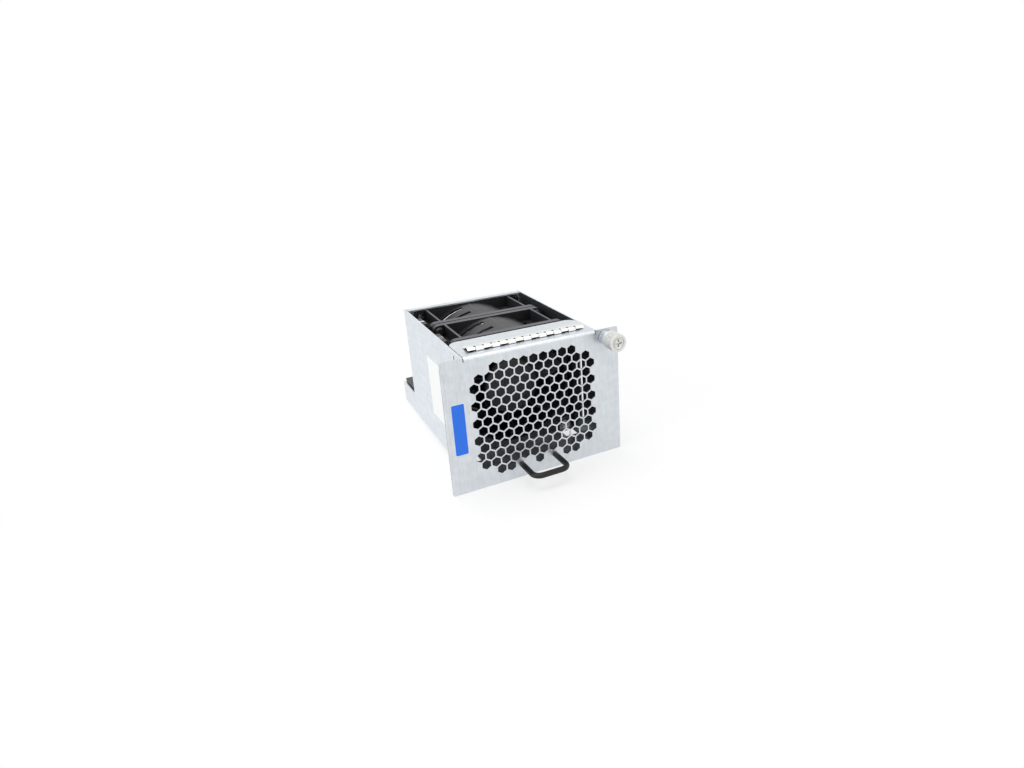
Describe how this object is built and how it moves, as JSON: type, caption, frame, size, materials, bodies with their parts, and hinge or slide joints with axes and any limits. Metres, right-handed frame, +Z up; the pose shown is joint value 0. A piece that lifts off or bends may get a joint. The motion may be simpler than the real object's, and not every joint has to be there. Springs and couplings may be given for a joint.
{
  "type": "switch fan tray",
  "caption": "Hot swap fan tray for a network switch: perforated metal front with pull handle and captive thumb screw, axial fans in line in an open topped sheet metal sled.",
  "frame": {"origin": "middle of the overall box at its lowest level, the lower edge of the front panel", "axes": "+Y is the way the tray slides into its chassis, the panel faces -Y; +X is to the right seen from the front; +Z is up"},
  "size_m": [0.118, 0.1776, 0.0887],
  "materials": {
    "zinc_sheet": "zinc plated, satin",
    "zinc_side_sheet": "zinc plated, satin",
    "spring_steel": "bright",
    "screw_steel": "satin",
    "nickel": "satin nickel",
    "black_rod": "black, half gloss",
    "fan_frame_plastic": "moulded, half matt",
    "impeller_plastic": "moulded",
    "gasket_rubber": "matt",
    "black_nylon": "moulded",
    "white_nylon": "moulded",
    "natural_nylon": "moulded",
    "magnet_ferrite": "sintered",
    "bearing_steel": "ground",
    "stator_lamination": "stacked sheet with windings",
    "circuit_board": "solder mask",
    "brass": "turned",
    "connector_black": "moulded",
    "cable_sleeve": "sleeve"
  },
  "bodies": {
    "tray": {"front_panel": "zinc_sheet", "chassis_tub": "zinc_side_sheet", "rear_panel": "zinc_sheet", "emi_strip": "spring_steel", "pull_handle": "black_rod", "handle_screw_left": "screw_steel", "handle_screw_right": "screw_steel", "screw_ferrule": "nickel", "fan_gasket": "gasket_rubber", "front_fan_housing": "fan_frame_plastic", "front_fan_bearing_inner": "bearing_steel", "front_fan_bearing_outer": "bearing_steel", "front_fan_stator": "stator_lamination", "front_fan_circuit_board": "circuit_board", "rear_fan_housing": "fan_frame_plastic", "rear_fan_bearing_inner": "bearing_steel", "rear_fan_bearing_outer": "bearing_steel", "rear_fan_stator": "stator_lamination", "rear_fan_circuit_board": "circuit_board", "link_pin_lower_left": "black_nylon", "link_pin_lower_right": "black_nylon", "link_pin_upper_left": "black_nylon", "link_pin_upper_right": "black_nylon", "fan_screw_front_left": "screw_steel", "fan_screw_front_right": "screw_steel", "fan_screw_rear_left": "screw_steel", "fan_screw_rear_right": "screw_steel", "front_lead": "cable_sleeve", "front_harness": "cable_sleeve", "front_lead_plug": "white_nylon", "front_harness_socket": "white_nylon", "rear_lead": "cable_sleeve", "rear_harness": "cable_sleeve", "rear_lead_plug": "white_nylon", "rear_harness_socket": "white_nylon", "interface_board": "circuit_board", "board_header": "white_nylon", "blind_mate_connector": "connector_black", "board_standoff_left": "brass", "board_standoff_right": "brass", "board_screw_left": "screw_steel", "board_screw_right": "screw_steel"},
    "front_rotor": {"front_fan_impeller": "impeller_plastic", "front_fan_magnet_ring": "magnet_ferrite", "front_fan_shaft": "screw_steel", "front_fan_shaft_clip": "spring_steel"},
    "rear_rotor": {"rear_fan_impeller": "impeller_plastic", "rear_fan_magnet_ring": "magnet_ferrite", "rear_fan_shaft": "screw_steel", "rear_fan_shaft_clip": "spring_steel"},
    "screw_slide": {"screw_spring": "spring_steel", "screw_washer": "natural_nylon"},
    "screw_turn": {"screw_knob": "nickel", "thumb_screw": "screw_steel", "screw_clip": "screw_steel"}
  },
  "joints": [
    {"name": "front_rotor_spin", "type": "hinge", "parent": "tray", "child": "front_rotor", "pos_m": [0.0005, -0.00785, 0.0447], "axis": [0, 1, 0], "continuous": true},
    {"name": "rear_rotor_spin", "type": "hinge", "parent": "tray", "child": "rear_rotor", "pos_m": [0.0005, 0.03515, 0.0447], "axis": [0, 1, 0], "continuous": true},
    {"name": "screw_push", "type": "slide", "parent": "tray", "child": "screw_slide", "axis": [0, 1, 0], "range_m": [0, 0.0045], "stiffness_N_per_m": 300, "springref_m": -0.002, "deforming": ["screw_spring"]},
    {"name": "screw_spin", "type": "hinge", "parent": "screw_slide", "child": "screw_turn", "pos_m": [0.05, -0.0779, 0.0809], "axis": [0, 1, 0], "continuous": true}
  ]
}
